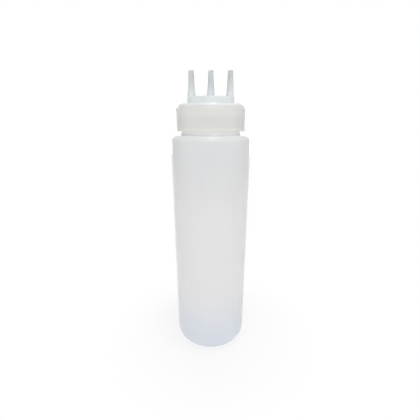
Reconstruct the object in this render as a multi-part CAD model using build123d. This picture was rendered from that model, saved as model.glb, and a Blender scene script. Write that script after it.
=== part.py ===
from build123d import *
import os

# A three-nozzle squeeze bottle. All sizes are in millimetres. The axis of the bottle is Z, the base
# stands on Z = 0 and the three nozzles stand in a row along X.

# The blow-moulded bottle
body_diameter = 70.0
shoulder_height = 209.6
body_wall = 1.1
shoulder_round = 4.4
heel_round = 10.5
standing_ring_width = 2.5
push_up_height = 3.0
push_up_slope = 6.0
push_up_round = 8.0
ring_round = 2.5
floor_wall = 1.3

# The neck, from the flat shoulder to the rim
shoulder_width = 8.5
neck_height = 18.4
neck_wall = 1.5
neck_root_round = 0.8

# The screw collar. Its thread and the neck's thread share the room between bore and neck.
thread_room = 2.0
collar_wall = 1.5
collar_gap = 2.8
lip_thickness = 1.8
lip_root_round = 0.8
collar_top_round = 0.9
collar_bottom_round = 0.8
bore_lead_in = 0.3

# The flat seal between the rim and the collar's lip
seal_thickness = 1.2

# The nozzle head: domed disc, drum, nozzles, plug skirt and snap bead
head_step = 0.9
head_wall = 1.6
head_rise = 3.1
head_fall = 0.5
head_edge_round = 2.6
drum_inset = 3.7
drum_rise = 4.7
drum_draft = 0.35
drum_top_round = 0.3
drum_root_round = 1.1
drum_inner_round = 0.6
plug_wall = 1.6
plug_depth = 4.7
plug_lead_in = 0.8
bead_height = 0.9
bead_proud = 0.4

# The nozzles and their bores. A nozzle tapers quickly up to its waist and slowly above it.
nozzle_height = 20.7
nozzle_base_diameter = 7.4
nozzle_waist_height = 10.5
nozzle_waist_diameter = 5.4
nozzle_waist_round = 120.0
nozzle_tip_diameter = 4.6
nozzle_foot_round = 0.25
nozzle_tip_round = 0.45
outlet_diameter = 2.5
bore_base_diameter = 4.4
nozzle_sides = (-1, 0, 1)

# Clearances
soft_clearance = 0.3
turning_clearance = 0.1
bead_clearance = 0.05
foot_margin = 0.05
edge_margin = 0.1

# Radii that follow from the sizes above
body_radius = body_diameter / 2
neck_radius = body_radius - shoulder_width
neck_bore_radius = neck_radius - neck_wall
collar_bore_radius = neck_radius + thread_room
collar_radius = collar_bore_radius + collar_wall
plug_radius = neck_bore_radius - soft_clearance
plug_bore_radius = plug_radius - plug_wall
lip_bore_radius = plug_radius + turning_clearance
bead_radius = lip_bore_radius + bead_proud
seal_bore_radius = bead_radius + soft_clearance
seal_radius = collar_bore_radius - lip_root_round - soft_clearance
head_radius = collar_radius - head_step
drum_radius = plug_radius - drum_inset
drum_top_radius = drum_radius - drum_draft
nozzle_foot_radius = nozzle_base_diameter / 2 + nozzle_foot_round + foot_margin
nozzle_spacing = drum_top_radius - drum_top_round - edge_margin - nozzle_foot_radius

# Levels that follow from the sizes above
rim_level = shoulder_height + neck_height
lip_level = rim_level + seal_thickness
collar_top = lip_level + lip_thickness
collar_bottom = shoulder_height + collar_gap
head_edge_level = collar_top + head_rise
drum_foot_level = head_edge_level + head_fall
drum_top = drum_foot_level + drum_rise
nozzle_tip = drum_top + nozzle_height


def turned(*corners):
    """Turn a closed outline about Z. Each corner is a radius, a level and the size of its round."""
    points = [(radius, level) for radius, level, corner_round in corners]
    rounds = [corner_round for radius, level, corner_round in corners]
    with BuildPart() as piece:
        with BuildSketch(Plane.XZ):
            with BuildLine():
                FilletPolyline(points, radius=rounds, close=True)
            make_face()
        revolve(axis=Axis.Z)
    return piece.part


def bottle_body():
    """The shell: raised centre, standing ring, heel, straight wall, shoulder, neck and rim."""
    ring_outer = body_radius - heel_round
    ring_inner = ring_outer - standing_ring_width
    push_up_radius = ring_inner - push_up_slope
    inner_radius = body_radius - body_wall
    return turned(
        (0, push_up_height, 0),
        (push_up_radius, push_up_height, push_up_round),
        (ring_inner, 0, ring_round),
        (body_radius, 0, heel_round),
        (body_radius, shoulder_height, shoulder_round),
        (neck_radius, shoulder_height, neck_root_round),
        (neck_radius, rim_level, 0),
        (neck_bore_radius, rim_level, 0),
        (neck_bore_radius, shoulder_height - floor_wall, neck_root_round),
        (inner_radius, shoulder_height - floor_wall, shoulder_round - body_wall),
        (inner_radius, floor_wall, heel_round - body_wall),
        (ring_inner, floor_wall, ring_round + floor_wall),
        (push_up_radius, push_up_height + floor_wall, push_up_round - floor_wall),
        (0, push_up_height + floor_wall, 0),
    )


def screw_collar():
    """The plain round ring that screws on the neck, with its lip turned in over the seal."""
    return turned(
        (collar_bore_radius, collar_bottom + bore_lead_in, 0),
        (collar_bore_radius + bore_lead_in, collar_bottom, 0),
        (collar_radius, collar_bottom, collar_bottom_round),
        (collar_radius, collar_top, collar_top_round),
        (lip_bore_radius, collar_top, 0),
        (lip_bore_radius, lip_level, 0),
        (collar_bore_radius, lip_level, lip_root_round),
    )


def rim_seal():
    """The flat ring that the collar's lip presses on the bottle's rim."""
    return turned(
        (seal_bore_radius, rim_level, 0),
        (seal_radius, rim_level, 0),
        (seal_radius, lip_level, 0),
        (seal_bore_radius, lip_level, 0),
    )


def head_disc():
    """The domed disc and its drum, hollow below, with the plug skirt and its snap bead."""
    rim_inner = head_radius - head_wall
    disc_under = head_edge_level - head_wall
    bead_top = lip_level - bead_clearance
    return turned(
        (0, drum_top, 0),
        (drum_top_radius, drum_top, drum_top_round),
        (drum_radius, drum_foot_level, drum_root_round),
        (head_radius, head_edge_level, head_edge_round),
        (head_radius, collar_top, 0),
        (rim_inner, collar_top, 0),
        (rim_inner, disc_under, 0),
        (plug_radius, disc_under, 0),
        (plug_radius, bead_top, 0),
        (bead_radius, bead_top, 0),
        (plug_radius, bead_top - bead_height, 0),
        (plug_radius, rim_level - plug_depth + plug_lead_in, 0),
        (plug_radius - plug_lead_in, rim_level - plug_depth, 0),
        (plug_bore_radius, rim_level - plug_depth, 0),
        (plug_bore_radius, drum_foot_level - head_wall, 0),
        (drum_radius - head_wall, drum_foot_level - head_wall, drum_inner_round),
        (drum_top_radius - head_wall, drum_top - head_wall, drum_inner_round),
        (0, drum_top - head_wall, 0),
    )


def nozzle():
    """One solid tapered nozzle on the Z axis, with its flared foot let into the drum's top."""
    foot_bottom = drum_top - head_wall / 2
    waist_level = drum_top + nozzle_waist_height
    return turned(
        (0, foot_bottom, 0),
        (nozzle_foot_radius, foot_bottom, 0),
        (nozzle_foot_radius, drum_top, 0),
        (nozzle_base_diameter / 2, drum_top, nozzle_foot_round),
        (nozzle_waist_diameter / 2, waist_level, nozzle_waist_round),
        (nozzle_tip_diameter / 2, nozzle_tip, nozzle_tip_round),
        (0, nozzle_tip, 0),
    )


def nozzle_bore():
    """The tapered hole of one nozzle, from the hollow of the drum to the open tip."""
    bore_length = nozzle_height + head_wall
    middle = drum_top - head_wall + bore_length / 2
    taper = Cone(bore_base_diameter / 2, outlet_diameter / 2, bore_length)
    return Pos(0, 0, middle) * taper


def nozzle_head():
    """The head: disc and drum, three nozzles in a row and their bores."""
    places = [Pos(side * nozzle_spacing, 0, 0) for side in nozzle_sides]
    head = head_disc()
    for place in places:
        head += place * nozzle()
    for place in places:
        head -= place * nozzle_bore()
    return head


pieces = {
    "bottle_body": bottle_body,
    "screw_collar": screw_collar,
    "nozzle_head": nozzle_head,
    "rim_seal": rim_seal,
}

os.makedirs("parts", exist_ok=True)
for name, make_piece in pieces.items():
    piece = make_piece()
    export_step(piece, f"parts/{name}.step")
    print(name, round(piece.volume, 1), "cubic millimetres")
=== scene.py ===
"""A translucent squeeze bottle with a screw collar and a head of three nozzles, on a pale floor."""

from functools import cached_property
from math import copysign, pi, radians, tan

import bmesh
import bpy
from bpy.props import FloatProperty, FloatVectorProperty, PointerProperty
from mathutils import Matrix, Vector


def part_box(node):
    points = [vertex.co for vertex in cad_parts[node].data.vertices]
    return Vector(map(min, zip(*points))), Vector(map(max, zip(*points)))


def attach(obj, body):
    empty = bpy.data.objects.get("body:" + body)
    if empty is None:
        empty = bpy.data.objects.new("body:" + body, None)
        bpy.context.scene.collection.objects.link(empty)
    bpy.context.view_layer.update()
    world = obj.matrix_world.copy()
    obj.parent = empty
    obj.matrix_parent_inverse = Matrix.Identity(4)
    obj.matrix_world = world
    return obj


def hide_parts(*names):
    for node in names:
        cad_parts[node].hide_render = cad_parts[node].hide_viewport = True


bl_info = {
    "name": "Three-nozzle squeeze bottle",
    "version": (1, 0, 0),
    "blender": (4, 5, 0),
    "location": "View3D > Sidebar > Bottle",
    "description": "Dresses the packed squeeze bottle with its moulded plastic pieces",
    "category": "Add Mesh",
}

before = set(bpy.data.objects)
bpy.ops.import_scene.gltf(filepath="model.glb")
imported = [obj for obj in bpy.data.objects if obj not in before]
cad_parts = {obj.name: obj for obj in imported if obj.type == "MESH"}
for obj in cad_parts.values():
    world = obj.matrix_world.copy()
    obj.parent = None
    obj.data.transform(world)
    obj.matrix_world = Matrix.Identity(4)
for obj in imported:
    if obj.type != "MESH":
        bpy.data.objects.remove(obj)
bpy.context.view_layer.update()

MM = 0.001
NOZZLE_SIDES = (-1, 0, 1)

# How finely the pieces are made
ROUND_SEGMENTS = 8
PINCH_SEGMENTS = 3
RING_STEPS = 192
NOZZLE_STEPS = 64
THREAD_STEPS = 96
FLOOR_STEPS = 96
SHARP_ANGLE = radians(32)
MERGE = 0.002 * MM             # points closer than this are one
PLATE_MARGIN = 0.02 * MM       # from the outer nozzles' rings to the edge of a flat plate
FACES_OUT = 0.2                # how much a wall's normal points outwards, at the least
PINCH_SHARE = 0.95             # length of the pinched seam on the raised centre's diameter

# Levels and distances between which the plastics and the floor change their tone
# Painted shade: the bottle turns darker and bluer below this range, towards the heel
HEEL_SHADE_FADE = (12.0 * MM, 75.0 * MM)
# Painted shade: the bottle's wall darkens from this level up to the shoulder
UPPER_SHADE_START = 130.0 * MM
# Painted light: the neck above the shoulder gets a lighter tone
NECK_LIGHT_FADE = 1.0 * MM
# Painted highlight: the collar's lower edge is lighter below this range
COLLAR_FOOT_HIGHLIGHT = (214.0 * MM, 216.0 * MM)
COLLAR_TOP_FADE = (222.0 * MM, 226.0 * MM)
NOZZLE_FADE_BELOW_DRUM = 3.0 * MM
NOZZLE_FADE_BELOW_TIP = 4.0 * MM
SHADOW_FADE = (30.0 * MM, 120.0 * MM)

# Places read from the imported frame, in metres
BOTTLE_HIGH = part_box("bottle_body")[1]
COLLAR_LOW, COLLAR_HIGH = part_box("screw_collar")
HEAD_LOW, HEAD_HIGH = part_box("nozzle_head")
SEAL_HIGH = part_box("rim_seal")[1]
BODY_RADIUS = BOTTLE_HIGH.x
RIM_LEVEL = BOTTLE_HIGH.z
COLLAR_BOTTOM = COLLAR_LOW.z
COLLAR_TOP = COLLAR_HIGH.z
COLLAR_RADIUS = COLLAR_HIGH.x
HEAD_RADIUS = HEAD_HIGH.x
NOZZLE_TIP = HEAD_HIGH.z
PLUG_BOTTOM = HEAD_LOW.z
LIP_LEVEL = SEAL_HIGH.z
SEAL_RADIUS = SEAL_HIGH.x

# The stage. A light has its name, width, height, power in watts, place and target.
FLOOR_RADIUS = 4.0
WHITE = (1.0, 1.0, 1.0, 1.0)
WHITE_STRENGTH = 1.0
FILL_STRENGTH = 0.32
WHITE_SHARE_AT_BASE = 0.78
MIDDLE = (0.0, 0.0, BODY_RADIUS * 4)
TOP = (0.0, 0.0, RIM_LEVEL)
LIGHTS = (
    ("overhead_light", 0.15, 0.15, 2.25, (0.06, -0.06, 1.0), TOP),
    ("high_light", 0.15, 0.15, 1.3, (0.06, -0.8, 0.85), TOP),
    ("left_light", 1.2, 0.4, 3.0, (-1.0, -0.45, 0.3), MIDDLE),
    ("front_light", 1.4, 0.6, 3.95, (0.1, -1.1, 0.42), MIDDLE),
    ("right_light", 1.2, 0.4, 2.4, (1.0, -0.45, 0.3), MIDDLE),
    ("back_light", 1.3, 0.5, 5.8, (0.0, 1.1, 0.3), MIDDLE),
)
CAMERA_PLACE = (-0.0007, -0.2429, 0.2203)
CAMERA_DOWN = radians(18.5)
SENSOR_WIDTH = 36.0
LENS = 22.7
CLIP_START = 0.01


def length(name, description, millimetres):
    """A length that the sidebar shows, with its default given in millimetres."""
    return FloatProperty(name=name, description=description, default=millimetres * MM,
                         min=0.0, unit="LENGTH", precision=5)


def colour(name, description, value):
    """A colour that the sidebar shows."""
    return FloatVectorProperty(name=name, description=description, default=value,
                               subtype="COLOR", size=3, min=0.0, max=1.0)


class BottleSizes(bpy.types.PropertyGroup):
    """Sizes of the blow-moulded bottle and its neck."""
    wall: length("Wall", "Thickness of the straight wall", 1.1)
    floor_wall: length("Floor wall", "Thickness of floor and shoulder", 1.3)
    shoulder_round: length("Shoulder round", "Radius of the shoulder's corner", 4.4)
    heel_round: length("Heel round", "Radius between wall and base", 10.5)
    ring_width: length("Ring width", "Width of the flat ring that the bottle stands on", 2.5)
    ring_round: length("Ring round", "Radius inside the standing ring", 2.5)
    push_up: length("Push-up", "Height of the raised centre of the base", 3.0)
    push_up_slope: length("Push-up slope", "Width of the slope round the raised centre", 6.0)
    push_up_round: length("Push-up round", "Radius round the raised centre", 8.0)
    shoulder_width: length("Shoulder width", "From the neck to the outside of the wall", 8.5)
    neck_height: length("Neck height", "From the shoulder to the rim", 18.4)
    neck_wall: length("Neck wall", "Thickness of the neck", 1.5)
    neck_root_round: length("Neck root round", "Radius between shoulder and neck", 1.2)
    mouth_round: length("Mouth round", "Radius inside, between shoulder and neck", 0.8)
    rim_round: length("Rim round", "Radius of the rim's two edges", 0.1)
    parting_depth: length("Parting line depth", "Depth of the mould's parting line", 0.06)
    parting_width: length("Parting line width", "Width of the parting line", 0.4)
    pinch_width: length("Pinch-off width", "Width of the pinched seam under the base", 1.0)
    pinch_height: length("Pinch-off height", "How far the pinched seam stands out", 0.5)


class ThreadSizes(bpy.types.PropertyGroup):
    """Sizes of the screw thread that neck and collar share."""
    pitch: length("Pitch", "Rise of the thread in one turn", 4.2)
    neck_height: length("Neck ridge height", "How far the neck's ridge stands out", 1.45)
    collar_height: length("Collar ridge height", "How far the collar's ridge stands in", 1.0)
    foot: length("Ridge foot", "Width of a ridge at its foot", 2.0)
    crest: length("Ridge crest", "Width of a ridge at its top", 0.8)
    sunk: length("Ridge root", "How far a ridge goes into its wall", 0.1)
    neck_start: length("Neck thread start", "From the rim down to the start of the ridge", 8.0)
    seating: length("Thread seating", "How far the collar's ridge lies under the neck's", 1.35)
    neck_turns: FloatProperty(name="Neck turns", description="Turns of the neck's ridge",
                              default=1.25, min=0.5)
    collar_turns: FloatProperty(name="Collar turns", description="Turns of the collar's ridge",
                                default=1.5, min=0.5)
    fade: FloatProperty(name="Run-out", description="Share of a turn in which a ridge fades out",
                        default=0.08, min=0.01)


class ClosureSizes(bpy.types.PropertyGroup):
    """Sizes of the collar, the nozzle head and the seal."""
    collar_wall: length("Collar wall", "Thickness of the collar's skirt", 1.5)
    collar_top_round: length("Collar top round", "Radius of the collar's upper edge", 0.9)
    collar_bottom_round: length("Collar bottom round", "Radius of the collar's lower edge", 0.8)
    bore_lead_in: length("Bore lead-in", "Chamfer at the mouth of the collar's bore", 0.3)
    lip_root_round: length("Lip root round", "Radius between the collar's bore and its lip", 0.8)
    plug_gap: length("Plug gap", "Running gap between plug skirt and lip", 0.1)
    head_wall: length("Head wall", "Thickness of the head's disc and drum", 1.6)
    head_rise: length("Head rise", "From the collar's top to the head's edge", 3.1)
    head_fall: length("Head fall", "How far the disc falls from the drum to its edge", 0.5)
    head_edge_round: length("Head edge round", "Radius of the head's outer edge", 2.6)
    head_foot_round: length("Head foot round", "Radius where the head stands on the collar", 0.15)
    head_inner_round: length("Head inner round", "Radius of the corners inside the head", 0.4)
    plug_radius: length("Plug radius", "Outer radius of the plug skirt", 24.7)
    plug_wall: length("Plug wall", "Thickness of the plug skirt", 1.6)
    plug_lead_in: length("Plug lead-in", "Chamfer at the lower edge of the plug skirt", 0.8)
    bead_proud: length("Snap bead", "How far the snap bead reaches past the collar's lip", 0.4)
    bead_height: length("Snap bead height", "Height of the snap bead", 0.9)
    bead_gap: length("Snap bead gap", "Running gap above the snap bead", 0.05)
    bead_round: length("Snap bead round", "Radius of the snap bead's edge", 0.1)
    drum_inset: length("Drum inset", "From the plug skirt in to the drum's wall", 3.7)
    drum_rise: length("Drum rise", "Height of the drum on the disc", 4.7)
    drum_draft: length("Drum draft", "How far the drum's wall leans in", 0.35)
    drum_top_round: length("Drum top round", "Radius of the drum's upper edge", 0.3)
    drum_root_round: length("Drum root round", "Radius between disc and drum", 1.1)
    drum_inner_round: length("Drum inner round", "Radius inside the drum", 0.6)
    seal_bore: length("Seal bore", "Inner radius of the seal", 25.5)
    seal_round: length("Seal round", "Radius of the seal's edges", 0.2)


class NozzleSizes(bpy.types.PropertyGroup):
    """Sizes of one nozzle. The three nozzles are alike."""
    spacing: length("Spacing", "From one nozzle's axis to the next", 16.25)
    base: length("Base", "Diameter at the drum", 7.4)
    waist: length("Waist", "Diameter where the taper changes", 5.4)
    waist_height: length("Waist height", "From the drum to the change of taper", 10.5)
    waist_round: length("Waist round", "Radius of the change of taper", 120.0)
    tip: length("Tip", "Diameter at the tip", 4.6)
    tip_round: length("Tip round", "Radius of the tip's edge", 0.45)
    foot_round: length("Foot round", "Radius of the flare at the foot", 0.25)
    foot_margin: length("Foot margin", "Flat round the flare", 0.05)
    outlet: length("Outlet", "Diameter of the hole in the tip", 2.5)
    outlet_round: length("Outlet round", "Radius round the hole in the tip", 0.15)
    bore_base: length("Bore base", "Diameter of the bore inside the drum", 4.4)


class FinishColours(bpy.types.PropertyGroup):
    """Colours of the plastics and the floor."""
    bottle: colour("Bottle", "Milky plastic of the bottle", (0.866, 0.858, 0.862))
    # Painted shade: a darker, greyer tone on the upper wall below the shoulder
    thin_and_upper_shade: colour("Thin wall", "Greyer plastic below the shoulder", (0.745, 0.75, 0.755))
    # Painted shade: a darker, bluer tone round the heel
    heel_shade: colour("Heel", "Bluer plastic round the bottle's heel", (0.735, 0.775, 0.86))
    # Painted light: a lighter, warmer tone on the neck, in the shaded groove under the collar
    neck: colour("Neck", "Warmer plastic of the bottle's neck", (0.79, 0.79, 0.775))
    collar: colour("Collar", "Slightly warmer plastic of the collar", (0.65, 0.65, 0.63))
    head: colour("Head", "Cooler plastic of the nozzle head", (0.74, 0.775, 0.785))
    rim: colour("Head rim", "Neutral plastic round the head's edge", (0.775, 0.79, 0.78))
    nozzle: colour("Nozzle", "Greyer plastic towards the nozzles' tips", (0.56, 0.587, 0.602))
    seal: colour("Seal", "Soft ring under the collar's lip", (0.74, 0.74, 0.72))
    floor: colour("Floor", "Pale floor", (0.88, 0.88, 0.88))


def outline(bm, corners, closed=False, axis_x=0.0):
    """Draw a wire in the XZ plane. Each corner is a radius, a level and the size of its round."""
    points = [Vector((axis_x + radius, 0.0, level)) for radius, level, _ in corners]
    verts = [bm.verts.new(point) for point in points]
    for pair in zip(verts, verts[1:]):
        bm.edges.new(pair)
    if closed:
        bm.edges.new((verts[-1], verts[0]))
    for place, (_, _, corner_round) in enumerate(corners):
        if corner_round > 0:
            before = points[place] - points[place - 1]
            after = points[(place + 1) % len(points)] - points[place]
            reach = corner_round * tan(before.angle(after) / 2)
            bmesh.ops.bevel(bm, geom=[verts[place]], offset=reach, offset_type="OFFSET",
                            segments=ROUND_SEGMENTS, profile=0.5, affect="VERTICES",
                            clamp_overlap=False, material=-1)


def turn(bm, steps, axis_x=0.0):
    """Turn every wire that has no faces yet about an upright axis."""
    verts = [vert for vert in bm.verts if not vert.link_faces]
    edges = [edge for edge in bm.edges if not edge.link_faces]
    bmesh.ops.spin(bm, geom=verts + edges, cent=(axis_x, 0.0, 0.0), axis=(0.0, 0.0, 1.0),
                   dvec=(0.0, 0.0, 0.0), angle=2 * pi, steps=steps, use_merge=True,
                   use_normal_flip=False, use_duplicate=False)


def close_up(bm):
    """Merge doubled points and point every face outwards."""
    bmesh.ops.remove_doubles(bm, verts=bm.verts, dist=MERGE)
    bmesh.ops.recalc_face_normals(bm, faces=bm.faces)


def make_piece(bm, name, body, material, node=None):
    """Turn the bmesh into a piece that rides a body and, where it has a node, stands for it."""
    mesh = bpy.data.meshes.new(name)
    for face in bm.faces:
        face.smooth = True
    bm.to_mesh(mesh)
    bm.free()
    mesh.set_sharp_from_angle(angle=SHARP_ANGLE)
    mesh.materials.append(material)
    piece = bpy.data.objects.new(name, mesh)
    bpy.context.scene.collection.objects.link(piece)
    shading = piece.modifiers.new("Flat faces stay flat", "WEIGHTED_NORMAL")
    shading.keep_sharp = True
    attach(piece, body)
    if node:
        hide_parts(node)
    return piece


class Link:
    """An output of a material's node. Arithmetic on it adds Math nodes."""

    def __init__(self, tree, socket):
        self.tree = tree
        self.socket = socket

    def math(self, operation, *values):
        """A Math node's result for some values and links."""
        return add_node(self.tree, "ShaderNodeMath", {"operation": operation},
                        dict(enumerate(values)))

    def __add__(self, other):
        return self.math("ADD", self, other)

    def __radd__(self, other):
        return self.math("ADD", other, self)

    def __sub__(self, other):
        return self.math("SUBTRACT", self, other)

    def __rsub__(self, other):
        return self.math("SUBTRACT", other, self)

    def __mul__(self, other):
        return self.math("MULTIPLY", self, other)

    def __rmul__(self, other):
        return self.math("MULTIPLY", other, self)

    def smooth(self, low, high):
        """0 below low, 1 above high, and an even curve between."""
        return add_node(self.tree, "ShaderNodeMapRange", {"interpolation_type": "SMOOTHSTEP"},
                        dict(enumerate((self, low, high, 0.0, 1.0))))


def add_node(tree, kind, settings, inputs, output=0):
    """Add a node: its settings first, then the values and links of its inputs."""
    made = tree.nodes.new(kind)
    for name, value in settings.items():
        setattr(made, name, value)
    for key, value in inputs.items():
        if isinstance(value, Link):
            tree.links.new(value.socket, made.inputs[key])
        else:
            made.inputs[key].default_value = value
    return Link(tree, made.outputs[output]) if len(made.outputs) else None


class Finish:
    """A material's or world's node tree, built up one node at a time."""

    def __init__(self, owner):
        owner.use_nodes = True
        self.tree = owner.node_tree
        self.tree.nodes.clear()

    def node(self, kind, settings, inputs, output=0):
        """Add a node to this tree."""
        return add_node(self.tree, kind, settings, inputs, output)

    @cached_property
    def place(self):
        """A point's place on the piece, in metres."""
        return self.node("ShaderNodeTexCoord", {}, {}, "Object")

    def along(self, axis):
        """One coordinate of a point on the piece."""
        return self.node("ShaderNodeSeparateXYZ", {}, {"Vector": self.place}, axis)

    def span(self, vector):
        """A vector's length."""
        return self.node("ShaderNodeVectorMath", {"operation": "LENGTH"}, {0: vector}, "Value")

    def reach(self):
        """A point's distance from the bottle's axis."""
        return self.span(self.node("ShaderNodeVectorMath", {"operation": "MULTIPLY"},
                                   {0: self.place, 1: (1.0, 1.0, 0.0)}))

    def noise(self, scale, detail, stretch=(1.0, 1.0, 1.0)):
        """Noise from 0 to 1, with a scale in bumps per metre."""
        spread = self.node("ShaderNodeMapping", {}, {"Vector": self.place, "Scale": stretch})
        return self.node("ShaderNodeTexNoise", {"noise_dimensions": "3D"},
                         {"Vector": spread, "Scale": scale, "Detail": detail})

    def blend(self, factor, first, second):
        """A colour between two others."""
        return self.node("ShaderNodeMix", {"data_type": "RGBA"},
                         {0: factor, 6: first, 7: second}, 2)

    def mottle(self, factor, value, darkest, lightest):
        """A colour that varies between two shades of itself."""
        return self.blend(factor, shade(value, darkest), shade(value, lightest))

    def bump(self, height, distance):
        """A normal that is bent by a height between 0 and 1."""
        return self.node("ShaderNodeBump", {}, {"Distance": distance, "Height": height})

    def white_rays(self):
        """1 for the rays that see a white background, 0 for the others."""
        camera = self.node("ShaderNodeLightPath", {}, {}, "Is Camera Ray")
        kinds = camera.socket.node.outputs
        glossy = Link(self.tree, kinds["Is Glossy Ray"])
        through = Link(self.tree, kinds["Is Transmission Ray"])
        return camera.math("MAXIMUM", camera, glossy.math("MAXIMUM", glossy, through))

    def done(self, shader, target="ShaderNodeOutputMaterial"):
        """Send the shader to the output."""
        self.node(target, {}, {"Surface": shader})


def shade(value, factor=1.0):
    """A colour made lighter or darker, as a node's socket takes it."""
    return tuple(min(1.0, channel * factor) for channel in value) + (1.0,)


def soft_plastic(finish, tone, roughness, normal, clear, glow, depth):
    """Milky plastic: how much light goes through, how much it scatters and how deep."""
    return finish.node("ShaderNodeBsdfPrincipled", {}, {
        "Base Color": tone,
        "Roughness": roughness,
        "Normal": normal,
        "IOR": 1.5,
        "Transmission Weight": clear,
        "Subsurface Weight": glow,
        "Subsurface Radius": (1.0, 0.95, 0.9),
        "Subsurface Scale": depth,
    })


def bottle_finish(colours, shoulder):
    """Blow-moulded plastic, clouded and streaked upwards. Painted shade: a darker upper wall and a
    darker, bluer heel. Painted light: a lighter, warmer neck.
    """
    material = bpy.data.materials.new("bottle_plastic")
    finish = Finish(material)
    level = finish.along("Z")
    cloud = finish.noise(scale=38.0, detail=3.0)
    streak = finish.noise(scale=300.0, detail=2.0, stretch=(1.0, 1.0, 0.035))
    grain = finish.noise(scale=1500.0, detail=2.0)
    milky = finish.mottle(cloud * 0.7 + streak * 0.3, colours.bottle, darkest=0.965, lightest=1.03)
    # Painted shade on the upper wall
    upper_shaded = finish.blend(level.smooth(UPPER_SHADE_START, shoulder), milky, shade(colours.thin_and_upper_shade))
    # Painted shade towards the heel
    wall = finish.blend(1.0 - level.smooth(*HEEL_SHADE_FADE), upper_shaded, shade(colours.heel_shade))
    # Painted light on the neck under the collar
    tone = finish.blend(level.smooth(shoulder, shoulder + NECK_LIGHT_FADE), wall, shade(colours.neck))
    normal = finish.bump(cloud * 0.5 + streak * 0.3 + grain * 0.2, distance=0.12 * MM)
    roughness = 0.17 + 0.07 * cloud + 0.04 * grain
    finish.done(soft_plastic(finish, tone, roughness, normal, clear=0.05, glow=0.6, depth=3.0 * MM))
    return material


def collar_finish(colours):
    """Injection-moulded plastic with a warm tone and a trace of flow round the collar, lighter at
    the top, with a painted highlight along the lower edge.
    """
    material = bpy.data.materials.new("collar_plastic")
    finish = Finish(material)
    cloud = finish.noise(scale=60.0, detail=3.0)
    flow = finish.noise(scale=420.0, detail=2.0, stretch=(0.15, 0.15, 1.0))
    grain = finish.noise(scale=1800.0, detail=2.0)
    warm = finish.mottle(cloud * 0.6 + flow * 0.4, colours.collar, darkest=0.96, lightest=1.03)
    level = finish.along("Z")
    # A lighter band at the collar's top, and a painted highlight along its lower edge
    top_band_and_foot_highlight = level.smooth(*COLLAR_TOP_FADE) + (1.0 - level.smooth(*COLLAR_FOOT_HIGHLIGHT))
    tone = finish.blend(top_band_and_foot_highlight, warm, shade(colours.collar, factor=1.06))
    normal = finish.bump(cloud * 0.6 + flow * 0.2 + grain * 0.2, distance=0.06 * MM)
    roughness = 0.3 + 0.1 * cloud + 0.04 * grain
    finish.done(soft_plastic(finish, tone, roughness, normal, clear=0.0, glow=0.6, depth=3.0 * MM))
    return material


def head_finish(colours, drum, drum_top):
    """Clearer, cooler injection-moulded plastic, greyer where the nozzles get thin."""
    material = bpy.data.materials.new("head_plastic")
    finish = Finish(material)
    cloud = finish.noise(scale=70.0, detail=3.0)
    flow = finish.noise(scale=380.0, detail=2.0, stretch=(1.0, 1.0, 0.2))
    grain = finish.noise(scale=1800.0, detail=2.0)
    cool = finish.mottle(cloud * 0.6 + flow * 0.4, colours.head, darkest=0.95, lightest=1.04)
    # The nozzles turn greyer towards their tips, where the plastic gets thin
    thin_and_upper_shade = finish.along("Z").smooth(drum_top - NOZZLE_FADE_BELOW_DRUM,
                                    NOZZLE_TIP - NOZZLE_FADE_BELOW_TIP)
    rim = finish.reach().smooth(drum, HEAD_RADIUS)
    tone = finish.blend(rim, finish.blend(thin_and_upper_shade, cool, shade(colours.nozzle)), shade(colours.rim))
    normal = finish.bump(cloud * 0.6 + flow * 0.2 + grain * 0.2, distance=0.06 * MM)
    roughness = 0.16 + 0.06 * cloud + 0.04 * grain
    finish.done(soft_plastic(finish, tone, roughness, normal, clear=0.05, glow=0.5, depth=3.0 * MM))
    return material


def seal_finish(colours):
    """Soft matt elastomer."""
    material = bpy.data.materials.new("seal_rubber")
    finish = Finish(material)
    cloud = finish.noise(scale=120.0, detail=3.0)
    grain = finish.noise(scale=2600.0, detail=3.0)
    tone = finish.mottle(cloud * 0.5 + grain * 0.5, colours.seal, darkest=0.93, lightest=1.04)
    normal = finish.bump(cloud * 0.4 + grain * 0.6, distance=0.05 * MM)
    roughness = 0.55 + 0.1 * grain
    finish.done(soft_plastic(finish, tone, roughness, normal, clear=0.0, glow=0.3, depth=1.0 * MM))
    return material


def floor_finish(colours):
    """Pale floor that keeps the shadow near the bottle and fades to the white background."""
    material = bpy.data.materials.new("pale_floor")
    finish = Finish(material)
    faded = finish.span(finish.place).smooth(*SHADOW_FADE)
    share = WHITE_SHARE_AT_BASE + (1.0 - WHITE_SHARE_AT_BASE) * faded
    cloud = finish.noise(scale=9.0, detail=2.0)
    tone = finish.mottle(cloud, colours.floor, darkest=0.99, lightest=1.01)
    plain = finish.node("ShaderNodeBsdfDiffuse", {}, {"Color": tone})
    white = finish.node("ShaderNodeEmission", {}, {"Color": WHITE, "Strength": WHITE_STRENGTH})
    finish.done(finish.node("ShaderNodeMixShader", {},
                            {0: share * finish.white_rays(), 1: plain, 2: white}))
    return material


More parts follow.
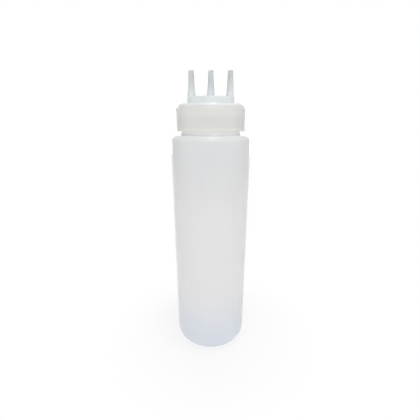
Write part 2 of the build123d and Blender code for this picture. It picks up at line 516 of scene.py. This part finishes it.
def bottle_piece(colours, sizes):
    """The shell, with its mould's parting line and the pinched seam under the base."""
    bm = bmesh.new()
    shoulder = RIM_LEVEL - sizes.neck_height
    neck = BODY_RADIUS - sizes.shoulder_width
    neck_bore = neck - sizes.neck_wall
    inside = BODY_RADIUS - sizes.wall
    ring_inner = BODY_RADIUS - sizes.heel_round - sizes.ring_width
    push_up_radius = ring_inner - sizes.push_up_slope
    floor = sizes.floor_wall
    outline(bm, (
        (0.0, sizes.push_up, 0),
        (push_up_radius, sizes.push_up, sizes.push_up_round),
        (ring_inner, 0.0, sizes.ring_round),
        (BODY_RADIUS, 0.0, sizes.heel_round),
        (BODY_RADIUS, shoulder, sizes.shoulder_round),
        (neck, shoulder, sizes.neck_root_round),
        (neck, RIM_LEVEL, sizes.rim_round),
        (neck_bore, RIM_LEVEL, sizes.rim_round),
        (neck_bore, shoulder - floor, sizes.mouth_round),
        (inside, shoulder - floor, sizes.shoulder_round - sizes.wall),
        (inside, floor, sizes.heel_round - sizes.wall),
        (ring_inner, floor, sizes.ring_round + floor),
        (push_up_radius, sizes.push_up + floor, sizes.push_up_round - floor),
        (0.0, sizes.push_up + floor, 0),
    ))
    turn(bm, RING_STEPS)
    close_up(bm)
    cut_parting_line(bm, sizes, shoulder)
    add_pinched_seam(bm, sizes, push_up_radius)
    material = bottle_finish(colours, shoulder)
    piece = make_piece(bm, "bottle_shell", "bottle", material, "bottle_body")
    return piece, neck


def cut_parting_line(bm, sizes, shoulder):
    """Sink a hairline into the outside of the wall, where the two halves of the mould met."""
    for side in (-0.5, 0.5):
        bmesh.ops.bisect_plane(bm, geom=bm.verts[:] + bm.edges[:] + bm.faces[:], dist=MERGE / 4,
                               plane_co=(0.0, side * sizes.parting_width, 0.0),
                               plane_no=(0.0, 1.0, 0.0))
    bm.normal_update()
    for vert in bm.verts:
        outward = Vector((vert.co.x, 0.0, 0.0)).normalized()
        on_plane = abs(vert.co.y) < MERGE
        on_wall = sizes.ring_round < vert.co.z < shoulder - sizes.shoulder_round / 2
        if on_plane and on_wall and vert.normal.dot(outward) > FACES_OUT:
            vert.co -= vert.normal * sizes.parting_depth


def add_pinched_seam(bm, sizes, reach):
    """Lay the seam where the mould pinched the tube shut, across the raised centre of the base."""
    long = 2 * PINCH_SHARE * reach
    size = Matrix.Diagonal((long, sizes.pinch_width, 2 * sizes.pinch_height, 1.0))
    place = Matrix.Translation((0.0, 0.0, sizes.push_up))
    seam = bmesh.ops.create_cube(bm, size=1.0, matrix=place @ size)
    edges = {edge for vert in seam["verts"] for edge in vert.link_edges}
    bmesh.ops.bevel(bm, geom=list(edges), offset=sizes.pinch_width / 4, offset_type="OFFSET",
                    segments=PINCH_SEGMENTS, profile=0.5, affect="EDGES", clamp_overlap=True,
                    material=-1)


def thread_ridge(name, body, material, sizes, wall_radius, rise, start, turns):
    """Sweep one right-handed ridge up its helix. It fades out of the wall at both ends."""
    bm = bmesh.new()
    steps = round(turns * THREAD_STEPS)
    foot_radius = wall_radius - copysign(sizes.sunk, rise)
    crest_radius = wall_radius + rise
    section = [bm.verts.new((foot_radius, 0.0, start - sizes.foot / 2)),
               bm.verts.new((crest_radius, 0.0, start - sizes.crest / 2)),
               bm.verts.new((crest_radius, 0.0, start + sizes.crest / 2)),
               bm.verts.new((foot_radius, 0.0, start + sizes.foot / 2))]
    edges = [bm.edges.new(pair) for pair in zip(section, section[1:] + section[:1])]
    rings = [section]
    one_step = Matrix.Rotation(2 * pi / THREAD_STEPS, 3, "Z")
    for step in range(steps):
        grown = bmesh.ops.extrude_edge_only(bm, edges=edges)["geom"]
        ring = [item for item in grown if isinstance(item, bmesh.types.BMVert)]
        edges = [item for item in grown if isinstance(item, bmesh.types.BMEdge)
                 and all(vert in ring for vert in item.verts)]
        bmesh.ops.rotate(bm, verts=ring, cent=(0.0, 0.0, 0.0), matrix=one_step)
        bmesh.ops.translate(bm, verts=ring, vec=(0.0, 0.0, sizes.pitch / THREAD_STEPS))
        rings.append(ring)
    for step, ring in enumerate(rings):
        to_end = min(step, steps - step) / THREAD_STEPS
        share = min(1.0, to_end / sizes.fade)
        for vert in ring:
            radius = vert.co.xy.length
            lifted = foot_radius + (radius - foot_radius) * share
            vert.co.x *= lifted / radius
            vert.co.y *= lifted / radius
    bmesh.ops.holes_fill(bm, edges=[edge for edge in bm.edges if edge.is_boundary], sides=4)
    bmesh.ops.recalc_face_normals(bm, faces=bm.faces)
    if bm.calc_volume(signed=True) < 0:
        bmesh.ops.reverse_faces(bm, faces=bm.faces)
    return make_piece(bm, name, body, material)


def collar_piece(colours, sizes):
    """The smooth screw ring with its thin lip."""
    bm = bmesh.new()
    bore = COLLAR_RADIUS - sizes.collar_wall
    lip_bore = sizes.plug_radius + sizes.plug_gap
    outline(bm, (
        (bore, COLLAR_BOTTOM + sizes.bore_lead_in, 0),
        (bore + sizes.bore_lead_in, COLLAR_BOTTOM, 0),
        (COLLAR_RADIUS, COLLAR_BOTTOM, sizes.collar_bottom_round),
        (COLLAR_RADIUS, COLLAR_TOP, sizes.collar_top_round),
        (lip_bore, COLLAR_TOP, 0),
        (lip_bore, LIP_LEVEL, 0),
        (bore, LIP_LEVEL, sizes.lip_root_round),
    ), closed=True)
    turn(bm, RING_STEPS)
    close_up(bm)
    material = collar_finish(colours)
    piece = make_piece(bm, "collar_ring", "collar", material, "screw_collar")
    return piece, bore


def close_level(bm, level):
    """Fill the flat plate between all open rings at one level."""
    rings = [edge for edge in bm.edges
             if edge.is_boundary and all(abs(vert.co.z - level) < MERGE for vert in edge.verts)]
    bmesh.ops.triangle_fill(bm, edges=rings, use_beauty=True, use_dissolve=False)


def head_piece(colours, sizes, nozzle):
    """The disc and drum, with three open nozzles above and the plug skirt below."""
    bm = bmesh.new()
    edge_level = COLLAR_TOP + sizes.head_rise
    drum_foot = edge_level + sizes.head_fall
    drum_top = drum_foot + sizes.drum_rise
    drum_under = drum_top - sizes.head_wall
    plug = sizes.plug_radius
    plug_bore = plug - sizes.plug_wall
    drum = plug - sizes.drum_inset
    drum_upper = drum - sizes.drum_draft
    rim_inner = HEAD_RADIUS - sizes.head_wall
    disc_under = edge_level - sizes.head_wall
    bead_top = LIP_LEVEL - sizes.bead_gap
    foot = nozzle.base / 2 + nozzle.foot_round + nozzle.foot_margin
    outline(bm, (
        (nozzle.spacing + foot + PLATE_MARGIN, drum_top, 0),
        (drum_upper, drum_top, sizes.drum_top_round),
        (drum, drum_foot, sizes.drum_root_round),
        (HEAD_RADIUS, edge_level, sizes.head_edge_round),
        (HEAD_RADIUS, COLLAR_TOP, sizes.head_foot_round),
        (rim_inner, COLLAR_TOP, 0),
        (rim_inner, disc_under, sizes.head_inner_round),
        (plug, disc_under, 0),
        (plug, bead_top, 0),
        (plug + sizes.plug_gap + sizes.bead_proud, bead_top, sizes.bead_round),
        (plug, bead_top - sizes.bead_height, 0),
        (plug, PLUG_BOTTOM + sizes.plug_lead_in, 0),
        (plug - sizes.plug_lead_in, PLUG_BOTTOM, 0),
        (plug_bore, PLUG_BOTTOM, 0),
        (plug_bore, drum_foot - sizes.head_wall, sizes.head_inner_round),
        (drum - sizes.head_wall, drum_foot - sizes.head_wall, sizes.drum_inner_round),
        (drum_upper - sizes.head_wall, drum_under, sizes.drum_inner_round),
        (nozzle.spacing + nozzle.bore_base / 2 + PLATE_MARGIN, drum_under, 0),
    ))
    turn(bm, RING_STEPS)
    for side in NOZZLE_SIDES:
        add_nozzle(bm, nozzle, foot, side * nozzle.spacing, drum_top, drum_under)
    bmesh.ops.remove_doubles(bm, verts=bm.verts, dist=MERGE)
    close_level(bm, drum_top)
    close_level(bm, drum_under)
    close_up(bm)
    material = head_finish(colours, drum, drum_top)
    return make_piece(bm, "nozzle_cap", "head", material, "nozzle_head")


def add_nozzle(bm, nozzle, foot, axis_x, drum_top, drum_under):
    """Turn one tapered nozzle with its bore, open to the drum's two faces."""
    outline(bm, (
        (foot, drum_top, 0),
        (nozzle.base / 2, drum_top, nozzle.foot_round),
        (nozzle.waist / 2, drum_top + nozzle.waist_height, nozzle.waist_round),
        (nozzle.tip / 2, NOZZLE_TIP, nozzle.tip_round),
        (nozzle.outlet / 2, NOZZLE_TIP, nozzle.outlet_round),
        (nozzle.bore_base / 2, drum_under, 0),
    ), axis_x=axis_x)
    turn(bm, NOZZLE_STEPS, axis_x)


def seal_piece(colours, sizes):
    """The flat soft ring on the rim."""
    bm = bmesh.new()
    outline(bm, (
        (sizes.seal_bore, RIM_LEVEL, sizes.seal_round),
        (SEAL_RADIUS, RIM_LEVEL, sizes.seal_round),
        (SEAL_RADIUS, LIP_LEVEL, sizes.seal_round),
        (sizes.seal_bore, LIP_LEVEL, sizes.seal_round),
    ), closed=True)
    turn(bm, RING_STEPS)
    close_up(bm)
    return make_piece(bm, "soft_seal", "seal", seal_finish(colours), "rim_seal")


class MakeBottle(bpy.types.Operator):
    """Make the bottle's shell and the thread on its neck"""
    bl_idname = "squeeze_bottle.make_bottle"
    bl_label = "Make bottle"

    def execute(self, context):
        scene = context.scene
        threads = scene.thread_sizes
        piece, neck = bottle_piece(scene.finish_colours, scene.bottle_sizes)
        thread_ridge("neck_thread", "bottle", piece.data.materials[0], threads,
                     neck, threads.neck_height, RIM_LEVEL - threads.neck_start, threads.neck_turns)
        return {"FINISHED"}


class MakeCollar(bpy.types.Operator):
    """Make the screw collar and the thread in its bore"""
    bl_idname = "squeeze_bottle.make_collar"
    bl_label = "Make collar"

    def execute(self, context):
        scene = context.scene
        threads = scene.thread_sizes
        piece, bore = collar_piece(scene.finish_colours, scene.closure_sizes)
        start = RIM_LEVEL - threads.neck_start - threads.seating
        thread_ridge("collar_thread", "collar", piece.data.materials[0], threads,
                     bore, -threads.collar_height, start, threads.collar_turns)
        return {"FINISHED"}


class MakeNozzleHead(bpy.types.Operator):
    """Make the head with its drum, nozzles and plug skirt"""
    bl_idname = "squeeze_bottle.make_nozzle_head"
    bl_label = "Make nozzle head"

    def execute(self, context):
        scene = context.scene
        head_piece(scene.finish_colours, scene.closure_sizes, scene.nozzle_sizes)
        return {"FINISHED"}


class MakeSeal(bpy.types.Operator):
    """Make the soft ring between rim and collar"""
    bl_idname = "squeeze_bottle.make_seal"
    bl_label = "Make seal"

    def execute(self, context):
        seal_piece(context.scene.finish_colours, context.scene.closure_sizes)
        return {"FINISHED"}


def soft_light(name, wide, high, power, place, target):
    """A soft panel of light that looks at a target."""
    lamp = bpy.data.lights.new(name, "AREA")
    lamp.shape = "RECTANGLE"
    lamp.size = wide
    lamp.size_y = high
    lamp.energy = power
    holder = bpy.data.objects.new(name, lamp)
    holder.location = place
    holder.rotation_euler = (Vector(target) - Vector(place)).to_track_quat("-Z", "Y").to_euler()
    bpy.context.scene.collection.objects.link(holder)
    return holder


def piece_list(name, piece, state):
    """A list for light linking that lets one piece in or keeps it out."""
    listed = bpy.data.collections.new(name)
    listed.objects.link(piece)
    listed.collection_objects[0].light_linking.link_state = state
    return listed


def shine_through(lamps, bottle):
    """Light the bottle by twins of the lamps that its milky closure doesn't shade."""
    only_bottle = piece_list("only_bottle", bottle, "INCLUDE")
    not_bottle = piece_list("not_bottle", bottle, "EXCLUDE")
    for lamp in lamps:
        twin = lamp.copy()
        twin.light_linking.receiver_collection = only_bottle
        twin.light_linking.blocker_collection = only_bottle
        bpy.context.scene.collection.objects.link(twin)
        lamp.light_linking.receiver_collection = not_bottle


class MakeStage(bpy.types.Operator):
    """Make the pale floor, the soft lights, the white background and the camera"""
    bl_idname = "squeeze_bottle.make_stage"
    bl_label = "Make stage"

    def execute(self, context):
        scene = context.scene
        scene.view_settings.view_transform = "Standard"
        bm = bmesh.new()
        bmesh.ops.create_circle(bm, cap_ends=True, segments=FLOOR_STEPS, radius=FLOOR_RADIUS)
        mesh = bpy.data.meshes.new("floor")
        bm.to_mesh(mesh)
        bm.free()
        mesh.materials.append(floor_finish(scene.finish_colours))
        floor = bpy.data.objects.new("floor", mesh)
        scene.collection.objects.link(floor)
        lamps = [soft_light(*light) for light in LIGHTS]
        shine_through(lamps, bpy.data.objects["bottle_shell"])
        self.make_world(scene)
        self.make_camera(scene)
        return {"FINISHED"}

    def make_world(self, scene):
        """White where it is seen, mirrored or shows through, and a soft fill for all else."""
        world = bpy.data.worlds.new("soft_room")
        scene.world = world
        finish = Finish(world)
        fill = finish.node("ShaderNodeBackground", {},
                           {"Color": WHITE, "Strength": FILL_STRENGTH})
        white = finish.node("ShaderNodeBackground", {},
                            {"Color": WHITE, "Strength": WHITE_STRENGTH})
        mixed = finish.node("ShaderNodeMixShader", {}, {0: finish.white_rays(), 1: fill, 2: white})
        finish.done(mixed, "ShaderNodeOutputWorld")

    def make_camera(self, scene):
        """A close view from the closure's level, looking down."""
        camera = bpy.data.cameras.new("camera")
        camera.sensor_width = SENSOR_WIDTH
        camera.lens = LENS
        camera.clip_start = CLIP_START
        holder = bpy.data.objects.new("camera", camera)
        holder.location = CAMERA_PLACE
        holder.rotation_euler = (pi / 2 - CAMERA_DOWN, 0.0, 0.0)
        scene.collection.objects.link(holder)
        scene.camera = holder


class BottlePanel(bpy.types.Panel):
    """Buttons and sizes of the squeeze bottle"""
    bl_idname = "VIEW3D_PT_squeeze_bottle"
    bl_label = "Squeeze bottle"
    bl_space_type = "VIEW_3D"
    bl_region_type = "UI"
    bl_category = "Bottle"

    def draw(self, context):
        for maker in MAKERS:
            self.layout.operator(maker.bl_idname)
        for name in GROUPS:
            box = self.layout.box()
            group = getattr(context.scene, name)
            for value in group.bl_rna.properties.keys():
                if value not in ("rna_type", "name"):
                    box.prop(group, value)


GROUPS = {
    "bottle_sizes": BottleSizes,
    "thread_sizes": ThreadSizes,
    "closure_sizes": ClosureSizes,
    "nozzle_sizes": NozzleSizes,
    "finish_colours": FinishColours,
}
MAKERS = (MakeBottle, MakeSeal, MakeNozzleHead, MakeCollar, MakeStage)


def register():
    for made in (*GROUPS.values(), *MAKERS, BottlePanel):
        bpy.utils.register_class(made)
    for name, group in GROUPS.items():
        setattr(bpy.types.Scene, name, PointerProperty(type=group))


def unregister():
    for name in GROUPS:
        delattr(bpy.types.Scene, name)
    for made in (BottlePanel, *reversed(MAKERS), *reversed(tuple(GROUPS.values()))):
        bpy.utils.unregister_class(made)


def main():
    register()
    bpy.ops.squeeze_bottle.make_bottle()
    bpy.ops.squeeze_bottle.make_seal()
    bpy.ops.squeeze_bottle.make_nozzle_head()
    bpy.ops.squeeze_bottle.make_collar()
    bpy.ops.squeeze_bottle.make_stage()


if __name__ == "__main__":
    main()
